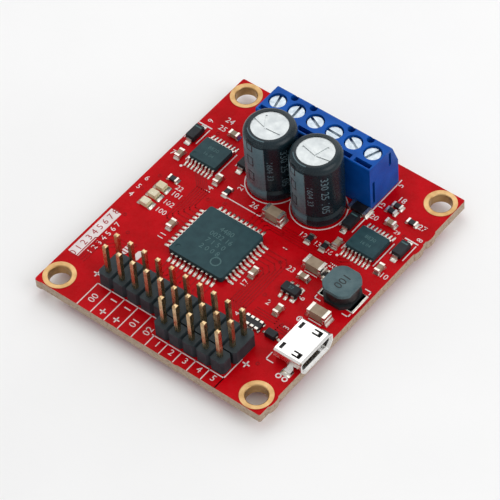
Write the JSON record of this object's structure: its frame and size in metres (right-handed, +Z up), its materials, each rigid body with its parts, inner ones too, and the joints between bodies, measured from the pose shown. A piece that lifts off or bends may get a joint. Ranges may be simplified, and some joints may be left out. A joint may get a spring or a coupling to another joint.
{
  "type": "servo driver board",
  "caption": "Small rectangular motor and servo controller board with screw terminals, a servo pin header, a micro-USB socket and tall capacitors.",
  "frame": {"origin": "centre of the four mounting holes, on the underside of the board", "axes": "+X along the pin-header edge towards the USB socket, +Y towards the screw terminals, +Z up from the component side"},
  "size_m": [0.0421, 0.0485, 0.0155],
  "materials": {
    "board_mask": "glossy red solder mask on glass laminate",
    "gold": "gold plating",
    "tin": "bright tin",
    "solder": "smooth solder",
    "black_plastic": "matte moulding compound",
    "header_plastic": "moulded nylon",
    "terminal_plastic": "satin blue moulding",
    "screw_steel": "zinc-plated steel",
    "clamp_steel": "plated steel",
    "contact_metal": "tinned brass",
    "can_aluminium": "bare drawn aluminium",
    "sleeve": "shrink sleeve, dark with a grey stripe",
    "seal_rubber": "rubber",
    "usb_steel": "tin-plated steel",
    "usb_plastic": "moulded nylon",
    "ferrite": "fired ferrite",
    "winding": "resin-coated copper wire",
    "ceramic_tan": "fired ceramic",
    "resistor_black": "glazed ceramic",
    "led_base": "white laminate",
    "led_lens": "clear epoxy"
  },
  "bodies": {
    "board": {"capacitor_a_can": "can_aluminium", "capacitor_a_leads": "tin", "capacitor_a_seal": "seal_rubber", "capacitor_a_sleeve": "sleeve", "capacitor_b_can": "can_aluminium", "capacitor_b_leads": "tin", "capacitor_b_seal": "seal_rubber", "capacitor_b_sleeve": "sleeve", "ceramic_capacitors_large_bodies": "ceramic_tan", "ceramic_capacitors_large_ends": "tin", "ceramic_capacitors_small_bodies": "ceramic_tan", "ceramic_capacitors_small_ends": "tin", "circuit_board": "board_mask", "header_housing_dual": "header_plastic", "header_housing_single": "header_plastic", "header_pins_dual": "gold", "header_pins_single": "gold", "inductor_core": "ferrite", "inductor_terminals": "tin", "inductor_winding": "winding", "microcontroller_body": "black_plastic", "microcontroller_leads": "tin", "motor_driver_a_body": "black_plastic", "motor_driver_a_leads": "tin", "motor_driver_b_body": "black_plastic", "motor_driver_b_leads": "tin", "mounting_hole_rings": "gold", "power_diode_bodies": "black_plastic", "power_diode_leads": "tin", "regulator_body": "black_plastic", "regulator_leads": "tin", "resistor_array_body": "resistor_black", "resistor_array_ends": "tin", "resistor_large_body": "resistor_black", "resistor_large_ends": "tin", "resistors_small_bodies": "resistor_black", "resistors_small_ends": "tin", "signal_diode_body": "black_plastic", "signal_diode_leads": "tin", "solder_joints": "solder", "status_led_bases": "led_base", "status_led_lenses": "led_lens", "terminal_contacts": "contact_metal", "terminal_housing_a": "terminal_plastic", "terminal_housing_b": "terminal_plastic", "usb_contacts": "gold", "usb_insulator": "usb_plastic", "usb_shell": "usb_steel"},
    "screw_1": {"terminal_screw_1": "screw_steel"},
    "clamp_1": {"terminal_clamp_1": "clamp_steel"},
    "screw_2": {"terminal_screw_2": "screw_steel"},
    "clamp_2": {"terminal_clamp_2": "clamp_steel"},
    "screw_3": {"terminal_screw_3": "screw_steel"},
    "clamp_3": {"terminal_clamp_3": "clamp_steel"},
    "screw_4": {"terminal_screw_4": "screw_steel"},
    "clamp_4": {"terminal_clamp_4": "clamp_steel"},
    "screw_5": {"terminal_screw_5": "screw_steel"},
    "clamp_5": {"terminal_clamp_5": "clamp_steel"},
    "screw_6": {"terminal_screw_6": "screw_steel"},
    "clamp_6": {"terminal_clamp_6": "clamp_steel"}
  },
  "joints": [
    {"name": "screw_1_turn", "type": "hinge", "parent": "board", "child": "screw_1", "pos_m": [-0.00855, 0.0177, 0.0098], "axis": [0, 0, -1], "range_deg": [0, 1352]},
    {"name": "clamp_1_lift", "type": "slide", "parent": "board", "child": "clamp_1", "axis": [0, 0, 1], "range_m": [0, 0.0015]},
    {"name": "screw_2_turn", "type": "hinge", "parent": "board", "child": "screw_2", "pos_m": [-0.00505, 0.0177, 0.0098], "axis": [0, 0, -1], "range_deg": [0, 1352]},
    {"name": "clamp_2_lift", "type": "slide", "parent": "board", "child": "clamp_2", "axis": [0, 0, 1], "range_m": [0, 0.0015]},
    {"name": "screw_3_turn", "type": "hinge", "parent": "board", "child": "screw_3", "pos_m": [-0.00155, 0.0177, 0.0098], "axis": [0, 0, -1], "range_deg": [0, 1352]},
    {"name": "clamp_3_lift", "type": "slide", "parent": "board", "child": "clamp_3", "axis": [0, 0, 1], "range_m": [0, 0.0015]},
    {"name": "screw_4_turn", "type": "hinge", "parent": "board", "child": "screw_4", "pos_m": [0.00195, 0.0177, 0.0098], "axis": [0, 0, -1], "range_deg": [0, 1352]},
    {"name": "clamp_4_lift", "type": "slide", "parent": "board", "child": "clamp_4", "axis": [0, 0, 1], "range_m": [0, 0.0015]},
    {"name": "screw_5_turn", "type": "hinge", "parent": "board", "child": "screw_5", "pos_m": [0.00545, 0.0177, 0.0098], "axis": [0, 0, -1], "range_deg": [0, 1352]},
    {"name": "clamp_5_lift", "type": "slide", "parent": "board", "child": "clamp_5", "axis": [0, 0, 1], "range_m": [0, 0.0015]},
    {"name": "screw_6_turn", "type": "hinge", "parent": "board", "child": "screw_6", "pos_m": [0.00895, 0.0177, 0.0098], "axis": [0, 0, -1], "range_deg": [0, 1352]},
    {"name": "clamp_6_lift", "type": "slide", "parent": "board", "child": "clamp_6", "axis": [0, 0, 1], "range_m": [0, 0.0015]}
  ],
  "couplings": [
    {"joint": "screw_1_turn", "follows": "clamp_1_lift", "rad_per_m": 15708},
    {"joint": "screw_2_turn", "follows": "clamp_2_lift", "rad_per_m": 15708},
    {"joint": "screw_3_turn", "follows": "clamp_3_lift", "rad_per_m": 15708},
    {"joint": "screw_4_turn", "follows": "clamp_4_lift", "rad_per_m": 15708},
    {"joint": "screw_5_turn", "follows": "clamp_5_lift", "rad_per_m": 15708},
    {"joint": "screw_6_turn", "follows": "clamp_6_lift", "rad_per_m": 15708}
  ]
}
